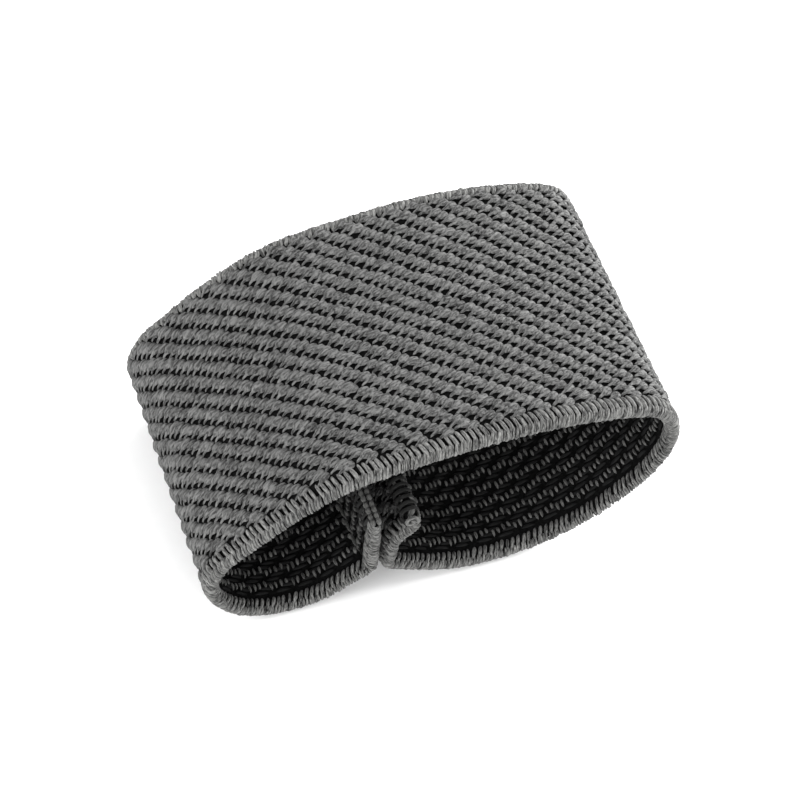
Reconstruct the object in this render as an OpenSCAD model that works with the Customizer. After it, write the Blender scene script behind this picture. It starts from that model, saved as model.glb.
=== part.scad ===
// Elastic wrist loop: one wide woven elastic band, sewn end to end into a loop.
// It lies on the undersides of its two lobes: the loop's axis is Y, its length X, and +Z is up.
// The band is five layers of construction: an outer twill face, rubber cores, an inner face and two
// selvedges. It is divided where it stretches and where its two sewn ends fold.

/* [Band] */
// Width of the band, along Y
band_w = 40; // [34:1:50]
// Thickness of the band
band_t = 2.2; // [2.0:0.1:2.4]
// Width of the closed selvedge along each edge of the band
selvedge_w = 3.5; // [2.5:0.5:4.5]
// Thickness of the outer twill face
outer_t = 0.8; // [0.6:0.05:0.85]
// Thickness of the inner face
inner_t = 0.6; // [0.4:0.05:0.7]

/* [Loop] */
// Length of the loop as it lies, along X
loop_l = 67.4; // [65:0.2:76]
// Height of the loop as it lies
loop_h = 32.9; // [29:0.1:36]

/* [Elastic cores] */
// Number of rubber threads across the band
core_count = 14; // [10:1:20]
// Share of the pitch that each rubber thread fills
core_fill = 0.55; // [0.4:0.05:0.7]

/* [Seam] */
// Height of the fold line of the two sewn ends above the surface that the loop lies on
fold_h = 8.6; // [8.2:0.1:9.5]
// Length of the left end above its fold line
left_tail_l = 7.7; // [5:0.1:8]
// Length of the right end above its fold line
right_tail_l = 7.3; // [5:0.1:8]
// Lean of the left end from upright, away from the seam
left_tail_lean = 4; // [2:1:20]
// Lean of the right end from upright, away from the seam
right_tail_lean = 26; // [20:1:50]
// Pitch of the lockstitches along the seam
stitch_pitch = 2.5; // [2:0.25:4]
// Pitch of the overlock loops along each raw end
overlock_pitch = 1.6; // [1.4:0.1:2.5]

/* [Hidden] */

// Layers of the band, as heights from its middle; positive is the outer side
half_t = band_t / 2;
core_top = half_t - outer_t;
core_bottom = inner_t - half_t;
// The outermost rim of a selvedge is thinner, so that the edge reads as rounded
rim_w = 0.6;
rim_half_t = half_t * 0.62;
face_half_w = band_w / 2 - selvedge_w;
core_pitch = 2 * face_half_w / core_count;
core_w = core_pitch * core_fill;

// Clearances: between the two sewn ends, at each cut across the band, and under each fold
seam_gap = 0.3;
cut_gap = 0.2;
fold_gap = 0.2;
fold_r = half_t;

// The seam is left of the middle; the two ends stand side by side on it
nominal_l = 69.46;
nominal_h = 30.6;
nominal_low = 1.1;
seam_x = -8.8;
right_fold_x = seam_x + half_t + seam_gap / 2;
left_fold_x = seam_x - half_t - seam_gap / 2;
seam_bend_h = 6.2;

// Middle line of the band, seen along Y: from the right fold, under and round the right lobe,
// over the crown, round the left lobe and back up to the left fold
right_side = [
    [2.6, 5.0], [5.6, 3.6], [9.4, 2.2], [14, 1.1], [19, 1.1], [25, 2.2], [31.6, 4.9], [36.8, 8.9],
    [41, 14.3], [42.4, 19.7], [41.2, 23.9], [37.6, 26.9], [28.8, 28.8], [18.8, 29.5], [8.8, 28.8]
];
crown_point = [0, 27.6];
left_side = [
    [-6.6, 26], [-13.6, 22.3], [-20.2, 17.3], [-23.4, 14.4], [-24.9, 10.6], [-23.5, 6.4],
    [-19.4, 2.6], [-14.2, 1.1], [-11.2, 1.1], [-7.6, 2.1], [-4.6, 3.7], [-2.3, 5.2]
];
scale_x = loop_l / nominal_l;
scale_h = (loop_h - band_t) / (nominal_h - 2 * nominal_low);
function lobe_point(p) = [seam_x + p[0] * scale_x, half_t + (p[1] - nominal_low) * scale_h];
control_points = concat(
    [[right_fold_x, fold_h], [right_fold_x, seam_bend_h]],
    [for (p = right_side) lobe_point(p)],
    [lobe_point(crown_point)],
    [for (p = left_side) lobe_point(p)],
    [[left_fold_x, seam_bend_h], [left_fold_x, fold_h]]
);
crown_index = len(right_side) + 2;

// Smooth curve through the control points, kept no lower than the band lying flat
curve_steps = 5;
function spline_point(a, b, c, d, t) =
    0.5 * (2 * b + (c - a) * t + (2 * a - 5 * b + 4 * c - d) * t * t
        + (3 * b - a - 3 * c + d) * t * t * t);
function lifted(p) = [p[0], max(half_t, p[1])];
function control(i) = control_points[max(0, min(len(control_points) - 1, i))];
last_control = len(control_points) - 1;
raw_curve = concat(
    [for (i = [0 : last_control - 1]) for (j = [0 : curve_steps - 1])
        lifted(spline_point(control(i - 1), control(i), control(i + 1), control(i + 2),
            j / curve_steps))],
    [control(last_control)]
);

// The curve is moved along X so that the loop's two ends are equally far from the origin
raw_x = [for (p = raw_curve) p[0]];
centre_x = (max(raw_x) + min(raw_x)) / 2;
curve = [for (p = raw_curve) [p[0] - centre_x, p[1]]];
right_fold = curve[0];
left_fold = curve[len(curve) - 1];

// Distance along the band, and the point and outward direction there
function running_length(i, sums) =
    i >= len(curve) ? sums
        : running_length(i + 1, concat(sums, [sums[i - 1] + norm(curve[i] - curve[i - 1])]));
length_to = running_length(1, [0]);
band_l = length_to[len(curve) - 1];
x_table = [for (i = [0 : len(curve) - 1]) [length_to[i], curve[i][0]]];
z_table = [for (i = [0 : len(curve) - 1]) [length_to[i], curve[i][1]]];
function point_at(s) = [lookup(s, x_table), lookup(s, z_table)];
tangent_reach = 0.4;
function outward_at(s) =
    let (t = point_at(min(band_l, s + tangent_reach)) - point_at(max(0, s - tangent_reach)))
    [t[1], -t[0]] / norm(t);

// Stretches of the band, as [start, end] distances along it
facet_l = 1.9;
root_l = 7;
crown_half_l = 4;
crown_s = length_to[crown_index * curve_steps];
right_root = [fold_r + fold_gap, root_l];
right_loop = [root_l + cut_gap, crown_s - crown_half_l - cut_gap];
crown = [crown_s - crown_half_l, crown_s + crown_half_l];
left_loop = [crown_s + crown_half_l + cut_gap, band_l - root_l - cut_gap];
left_root = [band_l - root_l, band_l - fold_r - fold_gap];

// Outline of one layer, from height low to height high, along a stretch of the band
function stations(stretch) =
    let (count = ceil((stretch[1] - stretch[0]) / facet_l))
    [for (i = [0 : count]) stretch[0] + (stretch[1] - stretch[0]) * i / count];
function layer_outline(stretch, low, high) =
    let (s = stations(stretch), n = len(s) - 1)
    concat(
        [for (i = [0 : n]) point_at(s[i]) + outward_at(s[i]) * high],
        [for (i = [n : -1 : 0]) point_at(s[i]) + outward_at(s[i]) * low]
    );

// An outline in X and Z, made solid between two distances along Y
module across(y_low, y_high) {
    translate([0, y_high, 0]) rotate([90, 0, 0]) linear_extrude(height = y_high - y_low) children();
}

module layer(stretch, low, high, y_low, y_high) {
    across(y_low, y_high) polygon(layer_outline(stretch, low, high));
}

// Sub-parts of each stretch of the band
module outer_face(stretch) {
    color("dimgray") layer(stretch, core_top, half_t, -face_half_w, face_half_w);
}

module inner_face(stretch) {
    color("darkslategray") layer(stretch, -half_t, core_bottom, -face_half_w, face_half_w);
}

module elastic_cores(stretch) {
    color("black") for (i = [0 : core_count - 1]) {
        y = (i - (core_count - 1) / 2) * core_pitch;
        layer(stretch, core_bottom, core_top, y - core_w / 2, y + core_w / 2);
    }
}

module rear_selvedge(stretch) {
    edge_y = band_w / 2;
    color("gray") {
        layer(stretch, -half_t, half_t, face_half_w, edge_y - rim_w);
        layer(stretch, -rim_half_t, rim_half_t, edge_y - rim_w, edge_y);
    }
}

module front_selvedge(stretch) {
    color("gray") mirror([0, 1, 0]) rear_selvedge(stretch);
}

// Sewn ends, each as [fold point, side, length, lean]; side is 1 on the right and -1 on the left
right_tail = [right_fold, 1, right_tail_l, right_tail_lean];
left_tail = [left_fold, -1, left_tail_l, left_tail_lean];
fold_steps = 6;

// Outline of one layer of a sewn end: a straight slab whose foot is round about the fold line
function tail_outline(tail, low, high) =
    concat(
        [for (i = [0 : fold_steps])
            let (u = low + (high - low) * i / fold_steps) [-tail[1] * u, -sqrt(fold_r * fold_r - u * u)]],
        [[-tail[1] * high, tail[2]], [-tail[1] * low, tail[2]]]
    );

module place_tail(tail) {
    translate(tail[0]) rotate(-tail[1] * tail[3]) children();
}

module tail_layer(tail, low, high, y_low, y_high) {
    across(y_low, y_high) place_tail(tail) polygon(tail_outline(tail, low, high));
}

module tail_outer_face(tail) {
    color("dimgray") tail_layer(tail, core_top, half_t, -face_half_w, face_half_w);
}

module tail_inner_face(tail) {
    color("darkslategray") tail_layer(tail, -half_t, core_bottom, -face_half_w, face_half_w);
}

module tail_elastic_cores(tail) {
    color("black") for (i = [0 : core_count - 1]) {
        y = (i - (core_count - 1) / 2) * core_pitch;
        tail_layer(tail, core_bottom, core_top, y - core_w / 2, y + core_w / 2);
    }
}

module tail_rear_selvedge(tail) {
    edge_y = band_w / 2;
    color("gray") {
        tail_layer(tail, -half_t, half_t, face_half_w, edge_y - rim_w);
        tail_layer(tail, -rim_half_t, rim_half_t, edge_y - rim_w, edge_y);
    }
}

module tail_front_selvedge(tail) {
    color("gray") mirror([0, 1, 0]) tail_rear_selvedge(tail);
}

// Overlock loops: thread wrapped over the raw end, one loop after another along Y
overlock_thread = 0.28;
overlock_w = 0.7;
overlock_bite = 2.6;
module overlock(tail) {
    grip = half_t + overlock_thread;
    loops = floor((band_w - 2 * overlock_w) / overlock_pitch);
    color("silver") for (i = [0 : loops - 1]) {
        y = (i - (loops - 1) / 2) * overlock_pitch;
        across(y - overlock_w / 2, y + overlock_w / 2) place_tail(tail) difference() {
            translate([-grip, tail[2] - overlock_bite]) square([2 * grip, overlock_bite + overlock_thread]);
            translate([-half_t, tail[2] - overlock_bite - 1]) square([band_t, overlock_bite + 1]);
        }
    }
}

// Lockstitch: thread through both ends just under the folds, with a bar on each inner side
thread_d = 0.5;
stitch_h = seam_bend_h + 0.4;
stitch_reach = band_t + seam_gap / 2 + thread_d / 4;
module seam_lockstitch() {
    stitches = floor((band_w - 2 * selvedge_w) / stitch_pitch);
    x = (right_fold[0] + left_fold[0]) / 2;
    color("lightgray") for (i = [0 : stitches - 1]) {
        y = (i - (stitches - 1) / 2) * stitch_pitch;
        translate([x, y, stitch_h]) rotate([0, 90, 0])
            cylinder(h = 2 * stitch_reach, d = thread_d, center = true, $fn = 16);
        for (side = [-1, 1]) {
            translate([x + side * stitch_reach, y, stitch_h]) rotate([90, 0, 0])
                cylinder(h = stitch_pitch * 0.7, d = thread_d, center = true, $fn = 16);
        }
    }
}

outer_face(right_loop);  // right_loop_outer_face
inner_face(right_loop);  // right_loop_inner_face
elastic_cores(right_loop);  // right_loop_elastic_cores
front_selvedge(right_loop);  // right_loop_front_selvedge
rear_selvedge(right_loop);  // right_loop_rear_selvedge
outer_face(left_loop);  // left_loop_outer_face
inner_face(left_loop);  // left_loop_inner_face
elastic_cores(left_loop);  // left_loop_elastic_cores
front_selvedge(left_loop);  // left_loop_front_selvedge
rear_selvedge(left_loop);  // left_loop_rear_selvedge
outer_face(crown);  // crown_outer_face
inner_face(crown);  // crown_inner_face
elastic_cores(crown);  // crown_elastic_cores
front_selvedge(crown);  // crown_front_selvedge
rear_selvedge(crown);  // crown_rear_selvedge
outer_face(right_root);  // right_root_outer_face
inner_face(right_root);  // right_root_inner_face
elastic_cores(right_root);  // right_root_elastic_cores
front_selvedge(right_root);  // right_root_front_selvedge
rear_selvedge(right_root);  // right_root_rear_selvedge
outer_face(left_root);  // left_root_outer_face
inner_face(left_root);  // left_root_inner_face
elastic_cores(left_root);  // left_root_elastic_cores
front_selvedge(left_root);  // left_root_front_selvedge
rear_selvedge(left_root);  // left_root_rear_selvedge
tail_outer_face(right_tail);  // right_tail_outer_face
tail_inner_face(right_tail);  // right_tail_inner_face
tail_elastic_cores(right_tail);  // right_tail_elastic_cores
tail_front_selvedge(right_tail);  // right_tail_front_selvedge
tail_rear_selvedge(right_tail);  // right_tail_rear_selvedge
overlock(right_tail);  // right_tail_overlock
tail_outer_face(left_tail);  // left_tail_outer_face
tail_inner_face(left_tail);  // left_tail_inner_face
tail_elastic_cores(left_tail);  // left_tail_elastic_cores
tail_front_selvedge(left_tail);  // left_tail_front_selvedge
tail_rear_selvedge(left_tail);  // left_tail_rear_selvedge
overlock(left_tail);  // left_tail_overlock
seam_lockstitch();
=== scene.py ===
"""Wide woven elastic wrist loop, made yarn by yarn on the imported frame.

The band is laid out flat first, as a weaver sees it: along the warp, across the band and up from
its middle. Every yarn gets its place there, and is then wrapped on the loop's middle line.
Sizes are in millimetres until the mesh is written, which is in metres.
"""

import logging
import math
from dataclasses import dataclass
from enum import Enum
from typing import ClassVar

import bmesh
import bpy
import numpy as np
from mathutils import Matrix, Vector


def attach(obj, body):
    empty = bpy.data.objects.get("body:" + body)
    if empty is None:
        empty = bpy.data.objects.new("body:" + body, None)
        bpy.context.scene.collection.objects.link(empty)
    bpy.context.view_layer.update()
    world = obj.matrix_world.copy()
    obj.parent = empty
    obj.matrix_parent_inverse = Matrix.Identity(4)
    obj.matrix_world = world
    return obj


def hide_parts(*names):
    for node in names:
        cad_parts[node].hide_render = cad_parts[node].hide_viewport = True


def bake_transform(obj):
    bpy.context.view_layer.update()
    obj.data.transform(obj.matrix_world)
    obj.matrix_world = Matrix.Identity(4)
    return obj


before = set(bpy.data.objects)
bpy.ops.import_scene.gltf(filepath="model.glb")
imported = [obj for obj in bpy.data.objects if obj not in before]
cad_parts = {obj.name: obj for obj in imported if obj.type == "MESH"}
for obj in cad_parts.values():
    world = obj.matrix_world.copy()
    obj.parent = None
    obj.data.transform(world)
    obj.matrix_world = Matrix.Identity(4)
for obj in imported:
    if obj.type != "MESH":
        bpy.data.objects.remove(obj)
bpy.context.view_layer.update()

log = logging.getLogger("wrist_loop")
MM = 0.001
# Spacing of the unit spheres that every piece starts from, wide enough to tell them apart
GRID = 4.0
# Each yarn takes its fibre pattern from its own place in the noise, up to this far away, in mm
PATTERN_SPREAD = 40.0
rng = np.random.default_rng(20)

Course = tuple[tuple[float, float, float], ...]
Outline = tuple[tuple[float, float], ...]


def linear(hex_colour: str) -> tuple[float, float, float, float]:
    """Turns an sRGB hex colour into linear RGBA.

    Args:
        hex_colour: Six hex digits after a hash.

    Returns:
        Linear red, green, blue and an alpha of 1.
    """
    channels = [int(hex_colour[i : i + 2], 16) / 255 for i in (1, 3, 5)]
    return (*[c / 12.92 if c <= 0.04045 else ((c + 0.055) / 1.055) ** 2.4 for c in channels], 1.0)


def add_node(
    tree: bpy.types.NodeTree,
    kind: str,
    settings: dict[str | int, object],
    links: dict[str | int, bpy.types.NodeSocket] | None = None,
) -> bpy.types.Node:
    """Adds one node, with its settings and what feeds it.

    Args:
        tree: Node tree of the material.
        kind: Blender's name for the node.
        settings: Values by socket name, socket number or property name.
        links: Sockets that feed the node, by input name or number.

    Returns:
        The new node.
    """
    node = tree.nodes.new(kind)
    for name, value in settings.items():
        if isinstance(name, int) or name in node.inputs:
            node.inputs[name].default_value = value
        else:
            setattr(node, name, value)
    for name, socket in (links or {}).items():
        tree.links.new(socket, node.inputs[name])
    return node


@dataclass(frozen=True)
class YarnFinish:
    """A textured yarn, thread or rubber thread, with its fibres running along it."""

    name: str
    slot: str
    # The first colour fills the fibre hollows, painted darker as shade; crown, the second, is the
    # fibre crowns' colour, painted paler as highlight. Both also hold the heather's two fibre shades
    hollow_colour_and_shade: str
    crown: str
    fibre: float
    run: float
    relief: float
    roughness: float
    sheen: float
    specular: float = 0.25
    tone_share: float = 0.35
    # Width of the patches, in mm, and how much of the colour range they take up
    blotch: float = 9.0
    blotch_share: float = 0.24
    roughness_spread: float = 0.08

    def material(self) -> bpy.types.Material:
        """Makes the material once, and hands the same one out afterwards."""
        made = bpy.data.materials.get(self.name)
        if made:
            return made
        made = bpy.data.materials.new(self.name)
        made.use_nodes = True
        tree = made.node_tree
        tree.nodes.clear()
        yarn = add_node(tree, "ShaderNodeAttribute", {"attribute_name": "yarn"})
        tone = add_node(tree, "ShaderNodeAttribute", {"attribute_name": "tone"})
        stretched = add_node(
            tree, "ShaderNodeVectorMath",
            {"operation": "MULTIPLY", 1: (1 / self.run, 1 / self.fibre, 1 / self.fibre)},
            {0: yarn.outputs["Vector"]},
        )
        fibres = add_node(
            tree, "ShaderNodeTexNoise",
            {"Scale": 1.0, "Detail": 2.0, "Roughness": 0.65, "Distortion": 0.5},
            {"Vector": stretched.outputs["Vector"]},
        )
        spread = add_node(
            tree, "ShaderNodeMapRange",
            {"From Min": 0.4, "From Max": 0.6, "To Min": 0.0, "To Max": 1 - self.tone_share},
            {"Value": fibres.outputs["Fac"]},
        )
        # Soft patches of lighter and darker yarn, as a worn and handled cloth has
        place = add_node(tree, "ShaderNodeTexCoord", {})
        patches = add_node(
            tree, "ShaderNodeTexNoise",
            {"Scale": 1 / (self.blotch * MM), "Detail": 1.0, "Roughness": 0.5},
            {"Vector": place.outputs["Object"]},
        )
        toned = add_node(
            tree, "ShaderNodeMath",
            {"operation": "MULTIPLY_ADD", 1: self.tone_share},
            {0: tone.outputs["Fac"], 2: spread.outputs["Result"]},
        )
        patched = add_node(
            tree, "ShaderNodeMath",
            {"operation": "MULTIPLY_ADD", 1: self.blotch_share},
            {0: patches.outputs["Fac"], 2: toned.outputs["Value"]},
        )
        levelled = add_node(
            tree, "ShaderNodeMath",
            {"operation": "SUBTRACT", 1: self.blotch_share / 2, "use_clamp": True},
            {0: patched.outputs["Value"]},
        )
        # The noise that makes the bump also sets the colour: painted shade in the fibre hollows and
        # painted highlight on the crowns, over the heather's own mix
        colour = add_node(
            tree, "ShaderNodeMix",
            {"data_type": "RGBA", 6: linear(self.hollow_colour_and_shade), 7: linear(self.crown)},
            {0: levelled.outputs["Value"]},
        )
        rough = add_node(
            tree, "ShaderNodeMapRange",
            {
                "To Min": min(1.0, self.roughness + self.roughness_spread),
                "To Max": self.roughness - self.roughness_spread,
            },
            {"Value": fibres.outputs["Fac"]},
        )
        relief = add_node(
            tree, "ShaderNodeBump", {"Strength": 1.0, "Distance": self.relief * MM},
            {"Height": fibres.outputs["Fac"]},
        )
        shader = add_node(
            tree, "ShaderNodeBsdfPrincipled",
            {"Sheen Weight": self.sheen, "Sheen Roughness": 0.5,
             "Specular IOR Level": self.specular},
            {
                "Base Color": colour.outputs[2],
                "Roughness": rough.outputs["Result"],
                "Normal": relief.outputs["Normal"],
            },
        )
        add_node(
            tree, "ShaderNodeOutputMaterial", {}, {"Surface": shader.outputs["BSDF"]}
        )
        return made


class Finish(Enum):
    """The finishes of the band."""

    # Textured polyester, two shades of charcoal fibre mixed: a dull heather, with painted shade in
    # the fibre hollows and painted highlight on the fibre crowns
    OUTER_WARP = YarnFinish(
        "textured_polyester_warp_charcoal", "outer_twill", "#070707", "#777776",
        fibre=0.26, run=0.9, relief=0.45, roughness=0.8, sheen=0.08,
    )
    # The same yarn at the selvedges, packed closer, so that it looks a little smoother and paler
    SELVEDGE = YarnFinish(
        "textured_polyester_selvedge_charcoal", "selvedge", "#161616", "#868684",
        fibre=0.2, run=0.7, relief=0.3, roughness=0.78, sheen=0.08,
    )
    # Flat black polyester on the inner side: hardly any light comes back from it
    INNER_WARP = YarnFinish(
        "flat_polyester_warp_black", "inner_weave", "#0C0C0C", "#202020",
        fibre=0.14, run=1.4, relief=0.05, roughness=0.85, sheen=0.0, specular=0.12,
    )
    # Textured charcoal binder: short dull dashes, the palest thing on the inner side
    INNER_WEFT = YarnFinish(
        "textured_polyester_binder_grey", "inner_weave", "#262626", "#6E6E6C",
        fibre=0.14, run=1.0, relief=0.05, roughness=0.8, sheen=0.08,
    )
    # Weft that holds the faces together: dark, seen only down the gaps between the floats, and made
    # near-black as painted shade in those deep gaps
    GROUND_AND_GAP_SHADE = YarnFinish(
        "woven_ground_weft_black_and_gap_shade", "inner_weave", "#080808", "#151515",
        fibre=0.42, run=0.35, relief=0.12, roughness=0.9, sheen=0.0, specular=0.03,
    )
    # Extruded natural rubber: even and dull, seen only at the cut ends
    RUBBER = YarnFinish(
        "extruded_rubber_thread_black", "rubber_core", "#0A0A0A", "#242423",
        fibre=0.3, run=2.0, relief=0.02, roughness=0.6, sheen=0.0,
    )
    # Spun polyester sewing thread of the chains and needle lines, paler than the loops they lock,
    # which are painted dark as shade
    OVERLOCK = YarnFinish(
        "spun_polyester_overlock_thread", "overlock_thread", "#262626", "#6E6E6C",
        fibre=0.1, run=0.5, relief=0.05, roughness=0.75, sheen=0.15,
    )
    # The same thread painted dark, as painted shade where the sewn ends sit in the shadow under the
    # crown: the loops over the raw ends, and the chains and needle lines not listed as pale
    OVERLOCK_PAINTED_SHADE = YarnFinish(
        "spun_polyester_overlock_thread_painted_shade", "overlock_thread", "#060606", "#2A2A29",
        fibre=0.1, run=0.5, relief=0.05, roughness=0.8, sheen=0.05,
    )
    # Spun polyester sewing thread of the seam: dull grey, with a faint fuzzy sheen
    LOCKSTITCH = YarnFinish(
        "spun_polyester_seam_thread", "seam_thread", "#222222", "#60605E",
        fibre=0.1, run=0.5, relief=0.05, roughness=0.75, sheen=0.15,
    )


def smooth_line(points: np.ndarray, steps: int) -> np.ndarray:
    """Runs a smooth curve through some points.

    Args:
        points: The points, one a row.
        steps: Number of short pieces between one point and the next.

    Returns:
        The points of the smooth curve, one a row.
    """
    padded = np.vstack([points[:1], points, points[-1:]])
    a, b, c, d = padded[:-3], padded[1:-2], padded[2:-1], padded[3:]
    t = (np.arange(steps) / steps)[None, :, None]
    a, b, c, d = (p[:, None, :] for p in (a, b, c, d))
    spans = 0.5 * (
        2 * b + (c - a) * t + (2 * a - 5 * b + 4 * c - d) * t**2 + (3 * b - a - 3 * c + d) * t**3
    )
    return np.vstack([spans.reshape(-1, points.shape[1]), points[-1:]])


def distances(line: np.ndarray) -> np.ndarray:
    """Distance of each point of a line from the line's start."""
    return np.concatenate([[0.0], np.cumsum(np.linalg.norm(np.diff(line, axis=0), axis=1))])


@dataclass
class BandPath:
    """Middle line of the band, from the tip of the right sewn end round the loop to the left tip.

    Distance along the band is 0 at the right fold, and `length` at the left fold. The loop is a
    little longer and lower at its front edge, and a little shorter and higher at its rear edge.
    """

    half_thickness: float = 1.1
    half_width: float = 20.0
    loop_length: float = 67.4
    loop_height: float = 32.9
    nominal_length: float = 69.46
    nominal_height: float = 30.6
    nominal_low: float = 1.1
    seam_x: float = -8.8
    fold_offset: float = 1.25
    bend_height: float = 6.2
    front_stretch: tuple[float, float] = (1.016, 0.948)
    rear_stretch: tuple[float, float] = (0.993, 1.083)
    squeeze: float = 0.27
    squeeze_length: float = 3.0
    reach: float = 0.35
    loop_steps: int = 5
    line_steps: int = 12

    # Each side of the loop, measured from the seam, for a loop of the nominal size
    right_side: ClassVar[Outline] = (
        (2.6, 5.0), (5.6, 3.6), (9.4, 2.2), (14, 1.1), (19, 1.1), (25, 2.2), (31.6, 4.9),
        (36.8, 8.9), (41, 14.3), (42.4, 19.7), (41.2, 23.9), (37.6, 26.9), (28.8, 28.8),
        (18.8, 29.5), (8.8, 28.8),
    )
    crown_point: ClassVar[tuple[float, float]] = (0, 27.6)
    left_side: ClassVar[Outline] = (
        (-6.6, 26), (-13.6, 22.3), (-20.2, 17.3), (-23.4, 14.4), (-24.9, 10.6), (-23.5, 6.4),
        (-19.4, 2.6), (-14.2, 1.1), (-11.2, 1.1), (-7.6, 2.1), (-4.6, 3.7), (-2.3, 5.2),
    )
    # Sewn ends above the folds, from the fold to the tip
    right_end: ClassVar[Outline] = (
        (-6.95, 8.2), (-7.0, 10.4), (-6.3, 12.1), (-5.1, 13.5), (-4.25, 14.7), (-4.55, 15.9),
        (-5.5, 15.8),
    )
    left_end: ClassVar[Outline] = ((-9.75, 8.6), (-9.85, 11.2), (-9.9, 13.8), (-10.1, 16.6))

    def __post_init__(self) -> None:
        """Makes the smooth middle line and the tables that a distance is looked up in."""
        scale_x = self.loop_length / self.nominal_length
        scale_h = (self.loop_height - 2 * self.half_thickness) / (
            self.nominal_height - 2 * self.nominal_low
        )

        def lobe(points: Outline) -> np.ndarray:
            """Control points of a lobe at their real size."""
            p = np.array(points, float)
            return np.stack(
                [self.seam_x + p[:, 0] * scale_x,
                 self.half_thickness + (p[:, 1] - self.nominal_low) * scale_h], axis=1,
            )

        loop = np.vstack([
            [[self.seam_x + self.fold_offset, self.bend_height]],
            lobe(self.right_side), lobe((self.crown_point,)), lobe(self.left_side),
            [[self.seam_x - self.fold_offset, self.bend_height]],
        ])
        across = smooth_line(loop, self.loop_steps)[:, 0]
        loop[:, 0] -= (across.max() + across.min()) / 2
        ends = [np.array(self.right_end[::-1]), loop, np.array(self.left_end)]
        steps = self.line_steps
        line = smooth_line(np.vstack(ends), steps)
        line[:, 1] = np.maximum(line[:, 1], self.half_thickness)
        run = distances(line)
        right_fold = (len(self.right_end) - 1) * steps
        left_fold = (len(self.right_end) + len(loop)) * steps
        crown = (len(self.right_end) + 1 + len(self.right_side)) * steps
        self.table = run - run[right_fold]
        self.line = line
        self.length = float(self.table[left_fold])
        self.crown = float(self.table[crown])
        self.right_tip = float(self.table[0])
        self.left_tip = float(self.table[-1])

    def middle(self, along: np.ndarray) -> np.ndarray:
        """X and Z of the middle line at some distances along the band."""
        beyond = np.clip(along, self.table[0], self.table[-1])
        x = np.interp(beyond, self.table, self.line[:, 0])
        z = np.interp(beyond, self.table, self.line[:, 1])
        start, end = self.line[0] - self.line[3], self.line[-1] - self.line[-4]
        start, end = start / np.linalg.norm(start), end / np.linalg.norm(end)
        before = np.maximum(self.table[0] - along, 0)[:, None] * start
        after = np.maximum(along - self.table[-1], 0)[:, None] * end
        return np.stack([x, z], axis=1) + before + after

    def place(self, flat: np.ndarray) -> np.ndarray:
        """Wraps points of the flat band on the loop.

        Args:
            flat: Along the band, across it and up from its middle, one point a row, in mm.

        Returns:
            The points in the frame, in metres.
        """
        along, across, height = flat.T
        near = np.clip((self.right_tip + self.squeeze_length - along) / self.squeeze_length, 0, 1)
        near += np.clip((along - self.left_tip + self.squeeze_length) / self.squeeze_length, 0, 1)
        height = height * (1 - self.squeeze * np.minimum(near, 1))
        middle = self.middle(along)
        tangent = self.middle(along + self.reach) - self.middle(along - self.reach)
        share = np.clip(across / self.half_width, -1, 1)[:, None] / 2 + 0.5
        stretch = (1 - share) * self.front_stretch + share * np.array(self.rear_stretch)
        tangent = tangent * stretch
        tangent /= np.linalg.norm(tangent, axis=1)[:, None]
        x = middle[:, 0] * stretch[:, 0] + tangent[:, 1] * height
        z = (
            self.half_thickness
            + (middle[:, 1] - self.half_thickness) * stretch[:, 1]
            - tangent[:, 0] * height
        )
        return np.stack([x, across, z], axis=1) * MM


@dataclass(frozen=True)
class YarnShape:
    """One yarn, from the place where it leaves the cloth to the place where it dives back in."""

    course: Course
    width: float
    height: float
    side: tuple[float, float, float] = (0.0, 1.0, 0.0)
    bluntness: float = 0.5
    taper: float = 0.0
    narrow_from: float = 0.47
    narrow_over: float = 0.2
    flatness: float = 1.0
    sides: int = 8
    rings: int = 8

    def template(self, unit: np.ndarray) -> tuple[np.ndarray, np.ndarray]:
        """Shapes unit spheres into this yarn.

        Args:
            unit: Points of unit spheres whose poles lie along X.

        Returns:
            The points beside the yarn's own middle, and the same points in the yarn's own
            coordinates: along its course, across it and up from it.
        """
        line = smooth_line(np.array(self.course, float), 8)
        run = distances(line)
        at = np.arccos(np.clip(-unit[:, 0], -1, 1)) / math.pi * run[-1]
        step = run[-1] / 60

        def point(where: np.ndarray) -> np.ndarray:
            """Points of the yarn's own middle line."""
            inside = np.clip(where, 0, run[-1])
            return np.stack([np.interp(inside, run, line[:, i]) for i in range(3)], axis=1)

        tangent = point(at + step) - point(at - step)
        tangent /= np.linalg.norm(tangent, axis=1)[:, None]
        side = np.array(self.side, float) - tangent * (tangent @ np.array(self.side))[:, None]
        side /= np.linalg.norm(side, axis=1)[:, None]
        up = np.cross(tangent, side)
        round_part = np.hypot(unit[:, 1], unit[:, 2])
        girth = round_part ** (self.bluntness - 1) if self.bluntness < 1 else 1.0
        narrow = np.clip((at / run[-1] - self.narrow_from) / self.narrow_over, 0, 1)
        narrow = narrow**2 * (3 - 2 * narrow)
        girth = np.where(round_part > 1e-4, girth, 0.0) * (1 - self.taper * narrow)
        across = unit[:, 1] * girth * self.width / 2
        above = np.sign(unit[:, 2]) * np.abs(unit[:, 2]) ** self.flatness * girth * self.height / 2
        placed = point(at) + side * across[:, None] + up * above[:, None]
        return placed, np.stack([at, across, above], axis=1)


@dataclass
class Lay:
    """Where each yarn of a piece lies on the flat band, and how it differs from the next."""

    along: np.ndarray
    across: np.ndarray
    lift: np.ndarray | float = 0.0
    turn: np.ndarray | float = 0.0
    stretch: np.ndarray | float = 1.0
    girth: np.ndarray | float = 1.0
    tone: np.ndarray | float = 0.5

    def each(self, name: str, which: np.ndarray) -> np.ndarray:
        """One of the values above, for the yarn that each point belongs to."""
        return np.broadcast_to(getattr(self, name), self.along.shape)[which]


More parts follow.
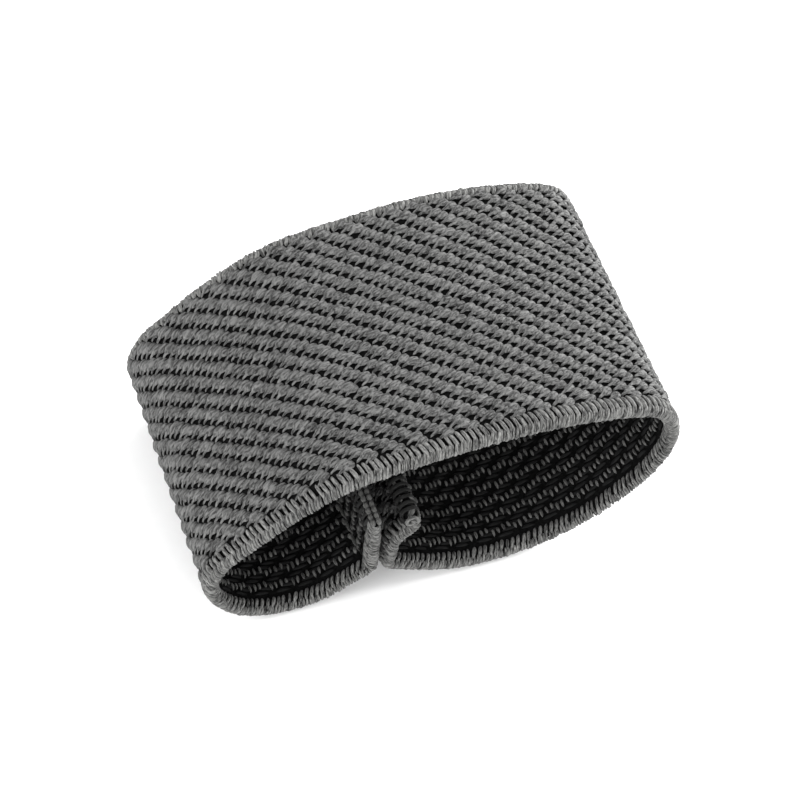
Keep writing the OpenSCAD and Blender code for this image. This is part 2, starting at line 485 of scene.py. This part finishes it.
def yarn_spheres(count: int, sides: int, rings: int) -> bpy.types.Mesh:
    """Unit spheres with their poles along X, on a square grid of a known spacing.

    Args:
        count: Number of spheres.
        sides: Faces round each.
        rings: Faces from pole to pole.

    Returns:
        One mesh that holds them all.
    """
    bm = bmesh.new()
    bmesh.ops.create_uvsphere(bm, u_segments=sides, v_segments=rings, radius=1.0)
    bmesh.ops.rotate(bm, verts=bm.verts, matrix=Matrix.Rotation(math.pi / 2, 3, "Y"))
    row = math.ceil(math.sqrt(count))
    rows = math.ceil(count / row)
    for steps, shift in ((row - 1, (GRID, 0, 0)), (rows - 1, (0, GRID, 0))):
        if steps:
            bmesh.ops.spin(
                bm, geom=bm.verts[:] + bm.edges[:] + bm.faces[:], angle=0.0, steps=steps,
                axis=(0, 0, 1), cent=(0, 0, 0), dvec=shift, use_duplicate=True,
            )
    spare = [
        v for v in bm.verts if round(v.co.y / GRID) * row + round(v.co.x / GRID) >= count
    ]
    bmesh.ops.delete(bm, geom=spare, context="VERTS")
    mesh = bpy.data.meshes.new("yarns")
    bm.to_mesh(mesh)
    bm.free()
    return mesh


def finish_piece(
    name: str, mesh: bpy.types.Mesh, placed: np.ndarray, yarn: np.ndarray, tone: np.ndarray,
    finish: Finish,
) -> bpy.types.Object:
    """Writes a piece's points and yarn attributes, smooths it and dresses it.

    Args:
        name: Name of the piece.
        mesh: Its mesh, with the points still elsewhere.
        placed: Its points in the frame.
        yarn: The same points in each yarn's own coordinates, in mm.
        tone: How light the yarn is at each point, from 0 to 1.
        finish: What it is made of.

    Returns:
        The new object.
    """
    mesh.vertices.foreach_set("co", placed.astype(np.float32).ravel())
    mesh.attributes.new("yarn", "FLOAT_VECTOR", "POINT").data.foreach_set(
        "vector", yarn.astype(np.float32).ravel()
    )
    mesh.attributes.new("tone", "FLOAT", "POINT").data.foreach_set(
        "value", tone.astype(np.float32)
    )
    mesh.polygons.foreach_set("use_smooth", np.ones(len(mesh.polygons), bool))
    mesh.update()
    mesh.materials.append(finish.value.material())
    piece = bpy.data.objects.new(name, mesh)
    bpy.context.scene.collection.objects.link(piece)
    log.info("%s: %d faces", name, len(mesh.polygons))
    return piece


def weave(
    name: str, shape: YarnShape, lay: Lay, path: "BandPath | CornerKnot", finish: Finish
) -> bpy.types.Object:
    """Makes one piece of many like yarns, and wraps it on the loop.

    Args:
        name: Name of the piece.
        shape: Shape of each yarn.
        lay: Place of each yarn on the flat band.
        path: What places the flat yarns in the frame.
        finish: What the yarn is.

    Returns:
        The piece.
    """
    mesh = yarn_spheres(len(lay.along), shape.sides, shape.rings)
    co = np.empty(len(mesh.vertices) * 3, np.float32)
    mesh.vertices.foreach_get("co", co)
    co = co.reshape(-1, 3).astype(float)
    row = math.ceil(math.sqrt(len(lay.along)))
    cell = np.round(co[:, :2] / GRID)
    which = (cell[:, 1] * row + cell[:, 0]).astype(int)
    co[:, :2] -= cell * GRID
    local, yarn = shape.template(co)
    # The spheres' poles are along X, so the grid of copies takes nothing from their roundness
    local[:, 0] *= lay.each("stretch", which)
    local[:, 1:] *= lay.each("girth", which)[:, None]
    turn = lay.each("turn", which)
    along = local[:, 0] * np.cos(turn) - local[:, 1] * np.sin(turn)
    across = local[:, 0] * np.sin(turn) + local[:, 1] * np.cos(turn)
    flat = np.stack(
        [along + lay.each("along", which), across + lay.each("across", which),
         local[:, 2] + lay.each("lift", which)], axis=1,
    )
    offset = rng.uniform(-PATTERN_SPREAD, PATTERN_SPREAD, (len(lay.along), 3))[which]
    return finish_piece(name, mesh, path.place(flat), yarn + offset, lay.each("tone", which), finish)


@dataclass
class Weave:
    """Warp-faced 3/1 twill: sizes of its lattice, and the yarns that show on each side."""

    pick: float = 0.853
    end: float = 0.694
    ends: int = 50
    rear_ends: int = 2
    repeat: int = 4

    def lattice(
        self, start: float, stop: float, shift: float = 0.0
    ) -> tuple[np.ndarray, np.ndarray, np.ndarray]:
        """Places of the floats along a stretch of the band.

        Args:
            start: Distance along the band where the stretch starts.
            stop: Distance where it ends.
            shift: How far the floats are moved along the band.

        Returns:
            Distance along, distance across and number of the end, for each float.
        """
        period = self.repeat * self.pick
        end = np.arange(self.ends + self.rear_ends)
        count = int((stop - start) / period) + 3
        k = np.arange(-1, count + self.ends)
        base = math.floor(start / period) * period - self.ends * self.pick
        base = math.floor(base / period) * period
        along = base + shift + period * k[None, :] + self.pick * end[:, None]
        across = np.broadcast_to(((end - (self.ends - 1) / 2) * self.end)[:, None], along.shape)
        number = np.broadcast_to(end[:, None], along.shape)
        inside = (along >= start) & (along < stop)
        return along[inside], across[inside], number[inside]


@dataclass
class Stretch:
    """One stretch of the band, from start to stop, and the CAD nodes that it stands for."""

    name: str
    start: float
    stop: float
    bodies: tuple[str, str]
    blend_from: tuple[float, float, float]
    blend_to: tuple[float, float, float]
    nodes: tuple[str, ...]
    # How much darker the outer yarns are painted: painted shade where the sewn end sits in the
    # shadow of the fold under the crown
    painted_shade: float = 0.0

    def hang(self, piece: bpy.types.Object, kind: str) -> bpy.types.Object:
        """Makes a piece stand for its CAD nodes, which are hidden, and bakes its placement into its
        mesh.

        Args:
            piece: The finished piece.
            kind: Last part of the names of the CAD nodes that it stands for.

        Returns:
            The piece.
        """
        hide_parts(*[f"{n}_{kind}" for n in self.nodes])
        return self.follow(piece)

    def follow(self, piece: bpy.types.Object) -> bpy.types.Object:
        """Bakes a piece's placement into its mesh."""
        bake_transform(piece)
        return piece


@dataclass
class BandStretch:
    """The woven band along one stretch: its two faces, ground, rubber threads and selvedges."""

    path: BandPath
    weave_sizes: Weave
    stretch: Stretch
    float_length: float = 2.62
    float_width: float = 1.4
    float_height: float = 0.62
    float_lean: float = math.radians(-22)
    core_count: int = 14
    core_pitch: float = 2.45
    binder_step: float = 0.17
    ground_width: float = 38.4
    ground_low: float = -0.6
    ground_high: float = 0.5
    ground_facet: float = 0.8
    ground_rows: int = 24

    def spread(self, count: int, amount: float) -> np.ndarray:
        """Small random differences between like yarns, with this standard deviation."""
        return np.clip(rng.normal(0, amount, count), -2.5 * amount, 2.5 * amount)

    def build(self) -> None:
        """Makes every piece of this stretch."""
        self.outer_twill()
        self.ground_web()
        self.inner_weave()
        self.rubber_cores()
        self.selvedges()

    def outer_twill(self) -> None:
        """Outer face: thick floats, each over three picks, leaning against the twill line."""
        w = self.weave_sizes
        along, across, number = w.lattice(self.stretch.start, self.stretch.stop)
        n = len(along)
        half = self.float_length / 2
        shape = YarnShape(
            course=((-half, 0, -0.42), (-half * 0.66, 0, -0.1), (-half * 0.1, 0, 0.02),
                    (half * 0.5, 0, 0), (half * 0.85, 0, -0.12), (half, 0, -0.3)),
            width=self.float_width, height=self.float_height, bluntness=0.42, taper=0.64,
            flatness=0.85, rings=9,
        )
        # One end in four sits a little proud, which draws the twill line
        reed = (number % w.repeat) == 1
        lay = Lay(
            along + self.spread(n, 0.09), across + self.spread(n, 0.04),
            lift=0.8 + self.spread(n, 0.04) + 0.03 * reed,
            turn=self.float_lean + self.spread(n, math.radians(4)),
            stretch=1 + self.spread(n, 0.06) + 0.06 * reed,
            girth=1 + self.spread(n, 0.06) + 0.03 * reed,
            # The sewn ends' outer yarns are painted darker here, as painted shade
            tone=np.clip(0.45 + self.spread(n, 0.13) + 0.12 * reed, 0, 1) - self.stretch.painted_shade,
        )
        piece = weave(f"{self.stretch.name}_outer_twill", shape, lay, self.path, Finish.OUTER_WARP)
        self.stretch.hang(piece, "outer_face")

    def ground_web(self) -> None:
        """Ground: the closed body of the cloth under the floats."""
        width, low, high = self.ground_width, self.ground_low, self.ground_high
        start, stop = self.stretch.start, self.stretch.stop
        bm = bmesh.new()
        bmesh.ops.create_grid(
            bm, x_segments=max(4, round((stop - start) / self.ground_facet)),
            y_segments=self.ground_rows, size=0.5,
        )
        bmesh.ops.solidify(bm, geom=bm.verts[:] + bm.edges[:] + bm.faces[:], thickness=1.0)
        bmesh.ops.recalc_face_normals(bm, faces=bm.faces)
        mesh = bpy.data.meshes.new("ground")
        bm.to_mesh(mesh)
        bm.free()
        co = np.empty(len(mesh.vertices) * 3, np.float32)
        mesh.vertices.foreach_get("co", co)
        flat = co.reshape(-1, 3).astype(float)
        lowest, span = flat.min(axis=0), np.ptp(flat, axis=0)
        flat = (flat - lowest) / span
        flat = flat * (stop - start, width, high - low) + (start, -width / 2, low)
        # Its near-black finish also paints the shade down the deep gaps between the floats
        piece = finish_piece(
            f"{self.stretch.name}_ground_web", mesh, self.path.place(flat), flat,
            np.full(len(flat), 0.5), Finish.GROUND_AND_GAP_SHADE,
        )
        self.stretch.follow(piece)

    def inner_weave(self) -> None:
        """Inner face: flat black floats, with the charcoal binder showing as short dashes."""
        w = self.weave_sizes
        period = w.repeat * w.pick
        along, across, _ = w.lattice(self.stretch.start, self.stretch.stop, shift=period / 2)
        n = len(along)
        half = 1.25
        warp = YarnShape(
            course=((-half, 0, 0.2), (-half * 0.6, 0, 0.04), (0, 0, 0), (half * 0.6, 0, 0.04),
                    (half, 0, 0.2)),
            width=0.62, height=0.36, bluntness=0.6, sides=6, rings=6,
        )
        lay = Lay(
            along + self.spread(n, 0.05), across + self.spread(n, 0.02),
            lift=-0.78 + self.spread(n, 0.02), turn=self.spread(n, math.radians(3)),
            stretch=1 + self.spread(n, 0.04), tone=np.clip(0.5 + self.spread(n, 0.2), 0, 1),
        )
        piece = weave(f"{self.stretch.name}_inner_warp", warp, lay, self.path, Finish.INNER_WARP)
        self.stretch.hang(piece, "inner_face")

        # The binder crosses each rubber thread once a pick, and steps sideways over four picks
        picks = np.arange(
            math.ceil(self.stretch.start / w.pick), math.ceil(self.stretch.stop / w.pick)
        )
        rows = (np.arange(self.core_count) - (self.core_count - 1) / 2) * self.core_pitch
        step = (picks % w.repeat - (w.repeat - 1) / 2) * self.binder_step
        along = np.tile(picks * w.pick, self.core_count)
        across = (rows[:, None] + step[None, :]).ravel()
        n = len(along)
        dash = YarnShape(
            course=((0, -0.6, 0.25), (0, -0.36, 0.03), (0, 0, 0), (0, 0.36, 0.03), (0, 0.6, 0.25)),
            width=0.46, height=0.34, side=(1, 0, 0), bluntness=0.6, sides=6, rings=6,
        )
        lay = Lay(
            along + self.spread(n, 0.04), across + self.spread(n, 0.05),
            lift=-0.93 + self.spread(n, 0.03), turn=self.spread(n, math.radians(4)),
            girth=1 + self.spread(n, 0.08), tone=np.clip(0.45 + self.spread(n, 0.25), 0, 1),
        )
        piece = weave(f"{self.stretch.name}_inner_binder", dash, lay, self.path, Finish.INNER_WEFT)
        self.stretch.follow(piece)

    def rubber_cores(self) -> None:
        """Rubber threads inside the ground, cut off flush at the raw ends."""
        count, pitch = self.core_count, self.core_pitch
        start, stop = self.stretch.start, self.stretch.stop
        core = YarnShape(
            course=((start, 0, 0), ((start + stop) / 2, 0, 0), (stop, 0, 0)), width=0.75,
            height=0.75, bluntness=0.1, sides=6, rings=max(12, round((stop - start) / 0.9)),
        )
        lay = Lay(np.zeros(count), (np.arange(count) - (count - 1) / 2) * pitch, lift=-0.05)
        piece = weave(f"{self.stretch.name}_rubber_cores", core, lay, self.path, Finish.RUBBER)
        self.stretch.hang(piece, "elastic_cores")

    def selvedges(self) -> None:
        """Closed edges: one rib a pick, wrapped from the outer face round to the inner one."""
        w = self.weave_sizes
        first = math.ceil(self.stretch.start / w.pick)
        last = math.ceil(self.stretch.stop / w.pick)
        # The front selvedge is wide and ribbed; the rear one is a narrow, flat turn of the weft
        front_outer = (
            (0.5, 17.0, 0.4), (0.42, 17.4, 0.76), (0.2, 18.1, 0.9), (0.0, 18.8, 0.8),
            (-0.1, 19.3, 0.42), (-0.12, 19.4, 0.0),
        )
        rear_outer = (
            (0.3, 18.2, 0.4), (0.25, 18.5, 0.72), (0.12, 18.95, 0.86), (0.0, 19.3, 0.7),
            (-0.06, 19.5, 0.35), (-0.08, 19.55, 0.0),
        )
        for name, side, width, height, turn in (
            ("front", -1, 0.58, 0.56, front_outer), ("rear", 1, 0.78, 0.4, rear_outer),
        ):
            # Ribs on the outer face lean one way, those round the edge the other way
            outer = YarnShape(
                course=tuple((along, side * across, up) for along, across, up in turn),
                width=width, height=height, side=(1, 0, 0), bluntness=0.45, sides=8, rings=12,
            )
            edge = YarnShape(
                course=(
                    (-0.34, side * 18.6, 0.55), (-0.24, side * 19.0, 0.78),
                    (-0.04, side * 19.56, 0.5), (0.1, side * 19.76, 0.0),
                    (0.2, side * 19.6, -0.45), (0.28, side * 19.3, -0.7),
                    (0.32, side * 19.0, -0.6),
                ),
                width=0.42, height=0.46, side=(1, 0, 0), bluntness=0.45, sides=8, rings=12,
            )
            inner = YarnShape(
                course=(
                    (0.0, side * 19.5, -0.5), (0.12, side * 19.2, -0.82), (0.4, side * 18.6, -0.93),
                    (0.66, side * 18.0, -0.8), (0.75, side * 17.75, -0.45),
                ),
                width=0.54, height=0.4, side=(1, 0, 0), bluntness=0.5, sides=8, rings=8,
            )
            for part, rib, step, tone, spread in (
                ("ribs", outer, w.pick, 0.5, 0.16), ("edge_ribs", edge, w.pick / 2, 0.5, 0.3),
                ("inner_ribs", inner, w.pick, 0.4, 0.2),
            ):
                along = np.arange(first * w.pick, last * w.pick - 0.01, step)
                n = len(along)
                lay = Lay(
                    along + self.spread(n, 0.04), self.spread(n, 0.06),
                    stretch=1 + self.spread(n, 0.1), turn=self.spread(n, 0.0015),
                    tone=tone + self.spread(n, spread),
                )
                piece = weave(
                    f"{self.stretch.name}_{name}_selvedge_{part}", rib, lay, self.path,
                    Finish.SELVEDGE,
                )
                self.stretch.hang(piece, f"{name}_selvedge")


@dataclass
class Overlock:
    """Overlocked raw end: loops over the edge, two chains along it and two needle lines."""

    path: BandPath
    stretch: Stretch
    tip: float
    outward: int
    # Chains and needle lines that keep the thread's own colour; the others get the thread painted
    # dark as shade
    pale: tuple[str, ...]
    chain_width: float = 1.0
    pitch: float = 1.0
    bite: float = 1.9
    loops_width: float = 38.4
    chains_width: float = 39.6
    needle_lines_width: float = 37.6

    def build(self) -> None:
        """Makes the loops, the two chains and the two needle lines, each as its own piece."""
        loops = int(self.loops_width / self.pitch)
        middle = (np.arange(loops) - (loops - 1) / 2) * self.pitch
        o, t = self.outward, self.tip
        loop = YarnShape(
            course=(
                (t - o * self.bite, -0.4, 1.1), (t - o * 1.2, -0.15, 1.22), (t + o * 0.1, 0.1, 1.05),
                (t + o * 0.3, 0.2, 0.5), (t + o * 0.3, 0.3, -0.5), (t + o * 0.1, 0.4, -1.05),
                (t - o * 1.2, 0.65, -1.22), (t - o * self.bite, 0.9, -1.1),
            ),
            width=0.7, height=0.4, side=(0, 1, 0), bluntness=0.3, sides=8, rings=20,
        )
        n = len(middle)
        tone = np.clip(0.5 + rng.normal(0, 0.15, n), 0, 1)
        lay = Lay(rng.normal(0, 0.05, n), middle, tone=tone)
        piece = weave(f"{self.stretch.name}_overlock", loop, lay, self.path, Finish.OVERLOCK_PAINTED_SHADE)
        self.stretch.hang(piece, "overlock")
        edge, bite = t + o * 0.4, t - o * self.bite
        for name, at, height, width in (
            ("outer_chain", edge, 0.56, self.chains_width),
            ("inner_chain", edge, -0.56, self.chains_width),
            ("outer_needle_line", bite, 1.15, self.needle_lines_width),
            ("inner_needle_line", bite, -1.15, self.needle_lines_width),
        ):
            links = int(width / self.pitch)
            y = (np.arange(links) - (links - 1) / 2) * self.pitch
            chain = YarnShape(
                course=((-0.12, -0.56, 0), (0.02, -0.3, 0.12), (0.08, 0, 0.16), (0.02, 0.3, 0.12),
                        (0.12, 0.56, 0)),
                width=self.chain_width, height=self.chain_width, side=(1, 0, 0), bluntness=0.5,
            )
            lay = Lay(
                at + rng.normal(0, 0.06, links), y, lift=height,
                turn=0.3 + rng.normal(0, 0.1, links),
                tone=np.clip(0.7 + rng.normal(0, 0.2, links), 0, 1),
            )
            # Pieces not listed as pale get the thread painted dark, as painted shade
            finish = Finish.OVERLOCK if name in self.pale else Finish.OVERLOCK_PAINTED_SHADE
            piece = weave(f"{self.stretch.name}_{name}", chain, lay, self.path, finish)
            self.stretch.follow(piece)


@dataclass
class CornerKnot:
    """Knot that ends the overlock thread at the front corner of the right end."""

    x: float = -5.4
    y: float = -20.0
    z: float = 16.1
    turns: float = 1.45
    radius: float = 1.05
    thread: float = 0.5

    def place(self, flat: np.ndarray) -> np.ndarray:
        """Moves the winding from the origin to the corner, and to metres."""
        return (flat + (self.x, self.y, self.z)) * MM

    def build(self, stretch: Stretch) -> None:
        """Makes the knot as one wound thread for a sewn end.

        Args:
            stretch: The sewn end.
        """
        angle = np.linspace(-0.6, 2 * math.pi * self.turns - 0.6, 22)
        radius = np.linspace(self.radius, 0.12, len(angle))
        course = tuple(
            (r * math.cos(a), -0.25 * (1 - r / self.radius), r * math.sin(a))
            for a, r in zip(angle, radius)
        )
        shape = YarnShape(
            course=course, width=self.thread, height=self.thread, side=(0, 1, 0), bluntness=0.12,
            sides=10, rings=60,
        )
        lay = Lay(np.zeros(1), np.zeros(1), tone=0.75)
        piece = weave(f"{stretch.name}_corner_knot", shape, lay, self, Finish.OVERLOCK)
        stretch.follow(piece)


@dataclass
class Lockstitch:
    """Seam thread: one bar a stitch on the inner side of each sewn end."""

    path: BandPath
    pitch: float = 2.5
    depth: float = 1.6
    width: float = 33.0

    def build(self) -> None:
        """Makes the bars of both sides as one piece."""
        count = int(self.width / self.pitch)
        y = (np.arange(count) - (count - 1) / 2) * self.pitch
        bar = YarnShape(
            course=((0, -1.1, 0.3), (0, -0.8, 0.05), (0, 0, 0), (0, 0.8, 0.05), (0, 1.1, 0.3)),
            width=0.45, height=0.45, side=(1, 0, 0), bluntness=0.4, sides=8, rings=10,
        )
        lay = Lay(
            np.repeat([self.depth, self.path.length - self.depth], count),
            np.concatenate([y, y]), lift=-1.2,
            tone=np.clip(0.5 + rng.normal(0, 0.15, 2 * count), 0, 1),
        )
        piece = weave("seam_lockstitch_thread", bar, lay, self.path, Finish.LOCKSTITCH)
        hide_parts("seam_lockstitch")
        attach(piece, "seam")


@dataclass
class Studio:
    """Pale floor, soft lights and the camera."""

    floor_size: float = 4.0
    # The lowest yarns stand this far below the band's resting plane, in metres
    floor_drop: float = 0.00015
    surround: float = 0.45
    # Camera: degrees, and millimetres from the point that it looks at
    azimuth: float = -28.02
    elevation: float = 51.89
    roll: float = 9.82
    lens: float = 120.2
    distance: float = 369.5
    aim: ClassVar[Vector] = Vector((-0.842, -2.3, 19.316))

    def build(self) -> None:
        """Sets up the floor, the lights and the camera."""
        self.floor()
        self.light("key_softbox", (0.64, 0.18, 0.32), 0.7, 16.0)
        self.light("left_softbox", (-0.55, -0.05, 0.32), 0.5, 4.8)
        self.light("front_softbox", (-0.05, -0.60, 0.38), 0.5, 3.2)
        world = bpy.data.worlds.new("studio_surround")
        bpy.context.scene.world = world
        world.use_nodes = True
        background = world.node_tree.nodes["Background"]
        background.inputs["Color"].default_value = linear("#FFFFFF")
        background.inputs["Strength"].default_value = self.surround
        self.camera()
        bpy.context.scene.view_settings.view_transform = "Standard"

    def floor(self) -> None:
        """Pale matt paper, with a hardly visible grain."""
        bm = bmesh.new()
        bmesh.ops.create_grid(bm, x_segments=1, y_segments=1, size=self.floor_size / 2)
        bmesh.ops.translate(bm, verts=bm.verts, vec=(0, 0, -self.floor_drop))
        mesh = bpy.data.meshes.new("studio_floor")
        bm.to_mesh(mesh)
        bm.free()
        floor = bpy.data.objects.new("studio_floor", mesh)
        bpy.context.scene.collection.objects.link(floor)
        paper = bpy.data.materials.new("matt_backdrop_paper")
        paper.use_nodes = True
        tree = paper.node_tree
        tree.nodes.clear()
        place = add_node(tree, "ShaderNodeTexCoord", {})
        grain = add_node(
            tree, "ShaderNodeTexNoise", {"Scale": 400.0, "Detail": 2.0},
            {"Vector": place.outputs["Object"]},
        )
        colour = add_node(
            tree, "ShaderNodeMix",
            {"data_type": "RGBA", 6: linear("#F8F8F8"), 7: linear("#FDFDFD")},
            {0: grain.outputs["Fac"]},
        )
        shader = add_node(
            tree, "ShaderNodeBsdfPrincipled", {"Roughness": 0.95, "Specular IOR Level": 0.1},
            {"Base Color": colour.outputs[2]},
        )
        add_node(tree, "ShaderNodeOutputMaterial", {}, {"Surface": shader.outputs["BSDF"]})
        mesh.materials.append(paper)

    def light(
        self, name: str, place: tuple[float, float, float], size: float, power: float
    ) -> None:
        """Adds a square softbox that faces the loop.

        Args:
            name: Name of the light.
            place: Where it hangs, in metres.
            size: Length of its side, in metres.
            power: Watts.
        """
        data = bpy.data.lights.new(name, "AREA")
        data.size = size
        data.energy = power
        lamp = bpy.data.objects.new(name, data)
        lamp.location = place
        lamp.rotation_euler = Vector(place).to_track_quat("Z", "Y").to_euler()
        bpy.context.scene.collection.objects.link(lamp)

    def camera(self) -> None:
        """Long lens, looking down on the loop from its front left."""
        data = bpy.data.cameras.new("camera")
        data.lens = self.lens
        data.sensor_width = 36.0
        data.dof.use_dof = False
        camera = bpy.data.objects.new("camera", data)
        azimuth, elevation, roll = map(math.radians, (self.azimuth, self.elevation, self.roll))
        back = Vector((
            math.cos(elevation) * math.sin(azimuth), -math.cos(elevation) * math.cos(azimuth),
            math.sin(elevation),
        ))
        level = Vector((math.cos(azimuth), math.sin(azimuth), 0))
        right = level * math.cos(roll) + back.cross(level) * math.sin(roll)
        turn = Matrix((right, back.cross(right), back)).transposed().to_4x4()
        camera.matrix_world = Matrix.Translation((self.aim + back * self.distance) * MM) @ turn
        bpy.context.scene.collection.objects.link(camera)
        bpy.context.scene.camera = camera


def main() -> None:
    """Builds the studio and the band, stretch by stretch."""
    logging.basicConfig(level=logging.INFO, format="%(message)s")
    Studio().build()
    path = BandPath()
    log.info("band %.1f mm between folds, crown at %.1f mm", path.length, path.crown)
    weave_sizes = Weave()
    right_fold = (-0.00724, 0, 0.0086)
    left_fold = (-0.00974, 0, 0.0086)
    stretches = (
        Stretch("right", 0.0, path.crown, ("seam", "right_loop"), (-0.004, 0, 0), (0.028, 0, 0),
                ("right_loop", "right_root", "crown")),
        Stretch("left", path.crown, path.length, ("seam", "left_loop"), (-0.0125, 0, 0),
                (-0.028, 0, 0), ("left_loop", "left_root")),
        # Both sewn ends are painted darker, as painted shade in the fold under the crown
        Stretch("right_end", path.right_tip, 0.0, ("seam", "right_tail"), right_fold,
                (-0.0070, 0, 0.0112), ("right_tail",), painted_shade=0.9),
        Stretch("left_end", path.length, path.left_tip, ("seam", "left_tail"), left_fold,
                (-0.00993, 0, 0.0114), ("left_tail",), painted_shade=0.6),
    )
    for stretch in stretches:
        BandStretch(path, weave_sizes, stretch).build()
    Overlock(
        path, stretches[2], path.right_tip, -1, pale=("inner_needle_line",), chain_width=0.45
    ).build()
    Overlock(path, stretches[3], path.left_tip, 1, pale=("outer_chain", "inner_chain")).build()
    CornerKnot().build(stretches[2])
    Lockstitch(path).build()


if __name__ == "__main__":
    main()
